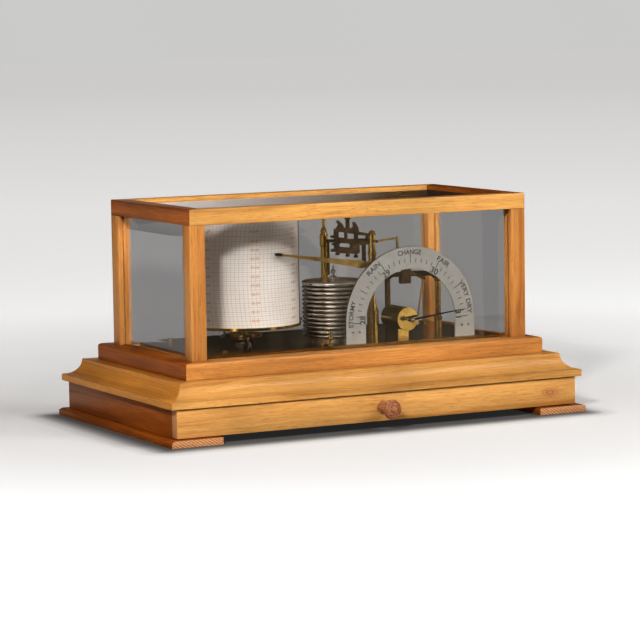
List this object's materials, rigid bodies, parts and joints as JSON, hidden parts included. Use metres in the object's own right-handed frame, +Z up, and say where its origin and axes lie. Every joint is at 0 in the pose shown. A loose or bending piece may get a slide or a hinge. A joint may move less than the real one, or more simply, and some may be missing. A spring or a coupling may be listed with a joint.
{
  "type": "barograph",
  "caption": "Recording aneroid barometer: clock drum with paper chart, capsule stack, pen arm and arched dial under a lift-off glazed oak cover on a moulded drawer base.",
  "frame": {"origin": "centre of the whole object's footprint, at the underside of the feet, with the drawer knob counted in", "axes": "+X to the right along the front, +Y to the back, +Z up; the drawer knob points along -Y"},
  "size_m": [0.3842, 0.246, 0.1845],
  "materials": {
    "oak": "waxed golden oak, open grain",
    "knob_wood": "turned reddish wood, polished",
    "glass": "clear, bevelled borders",
    "plate_brass": "polished and lacquered",
    "brass": "polished and lacquered",
    "screw_brass": "turned heads",
    "bronze": "dark bronzed",
    "steel": "turned, bright",
    "nickel": "nickel plated, polished",
    "capsule_metal": "nickel plated, satin",
    "silvered_brass": "silvered, matt, engraved and filled black",
    "blued_steel": "blued",
    "chart_paper": "printed chart, matt"
  },
  "bodies": {
    "case": {"feet": "oak", "side_boards": "oak", "back_board": "oak", "bottom_board": "oak", "deck_board": "oak", "plinth_board": "oak", "moulding_front": "oak", "moulding_rear": "oak", "moulding_left": "oak", "moulding_right": "oak", "base_plate": "plate_brass", "case_screws": "screw_brass", "drum_spindle": "steel", "fixed_wheel": "brass", "aneroid_stack": "capsule_metal", "rear_pillar": "brass", "front_pillar": "brass", "bridge_frame": "bronze", "bridge_screws": "bronze", "dial_arch": "silvered_brass", "dial_fixings": "steel", "dial_barrel": "brass", "arbor_bridge": "bronze", "dial_pillar": "brass"},
    "cover": {"base_rail_front": "oak", "base_rail_rear": "oak", "base_rail_left": "oak", "base_rail_right": "oak", "top_rail_front": "oak", "top_rail_rear": "oak", "top_rail_left": "oak", "top_rail_right": "oak", "corner_posts": "oak", "pane_front": "glass", "pane_rear": "glass", "pane_left": "glass", "pane_right": "glass", "pane_top": "glass"},
    "drawer": {"drawer_front": "oak", "drawer_sides": "oak", "drawer_back": "oak", "drawer_bottom": "oak", "drawer_knob": "knob_wood"},
    "drum": {"clock_drum": "brass", "drum_cap": "brass", "chart_paper": "chart_paper", "chart_clip": "nickel", "clock_movement": "brass"},
    "pinion": {"drive_pinion": "steel"},
    "spindle": {"capsule_spindle": "steel"},
    "rocker": {"main_lever": "bronze", "transfer_arm": "brass"},
    "pen": {"pen_arbor": "bronze", "pen_arm": "brass", "arm_clamp": "brass", "pen_nib": "nickel"},
    "link": {"link_rod": "bronze"},
    "hand": {"dial_hand": "blued_steel", "dial_arbor": "steel"},
    "adjuster": {"adjusting_handle": "brass"}
  },
  "joints": [
    {"name": "cover_lift", "type": "slide", "parent": "case", "child": "cover", "axis": [0, 0, 1], "range_m": [0, 0.13]},
    {"name": "drawer_slide", "type": "slide", "parent": "case", "child": "drawer", "axis": [0, -1, 0], "range_m": [0, 0.15]},
    {"name": "drum_spin", "type": "hinge", "parent": "case", "child": "drum", "pos_m": [-0.0722, 0.00755, 0.065], "axis": [0, 0, 1], "continuous": true},
    {"name": "pinion_spin", "type": "hinge", "parent": "drum", "child": "pinion", "pos_m": [-0.0902, 0.00755, 0.071], "axis": [0, 0, 1], "continuous": true},
    {"name": "pen_swing", "type": "hinge", "parent": "case", "child": "pen", "pos_m": [0.0552, -0.02245, 0.1233], "axis": [0, 1, 0], "range_deg": [-26, 8], "stiffness_Nm_per_rad": 0.3},
    {"name": "lever_rock", "type": "hinge", "parent": "case", "child": "rocker", "pos_m": [0.029, -0.03245, 0.148], "axis": [0, 1, 0], "range_deg": [-2, 6]},
    {"name": "hand_turn", "type": "hinge", "parent": "case", "child": "hand", "pos_m": [0.0552, -0.03245, 0.0816], "axis": [0, 1, 0], "range_deg": [-41, 13]},
    {"name": "link_swing", "type": "hinge", "parent": "pen", "child": "link", "pos_m": [0.0741, -0.03865, 0.11461], "axis": [0, 1, 0], "range_deg": [-9, 29]},
    {"name": "stack_breathe", "type": "slide", "parent": "case", "child": "spindle", "axis": [0, 0, 1], "range_m": [-0.001, 0.0033], "deforming": ["aneroid_stack"]},
    {"name": "handle_turn", "type": "hinge", "parent": "case", "child": "adjuster", "pos_m": [-0.0213, -0.05105, 0.07], "axis": [0, 0, 1], "range_deg": [-170, 170]}
  ],
  "couplings": [
    {"joint": "pinion_spin", "follows": "drum_spin", "ratio": 5},
    {"joint": "lever_rock", "follows": "pen_swing", "ratio": -0.22},
    {"joint": "hand_turn", "follows": "pen_swing", "ratio": 1.54},
    {"joint": "link_swing", "follows": "pen_swing", "ratio": -1.1},
    {"joint": "stack_breathe", "follows": "pen_swing", "m_per_rad": -0.00695}
  ]
}
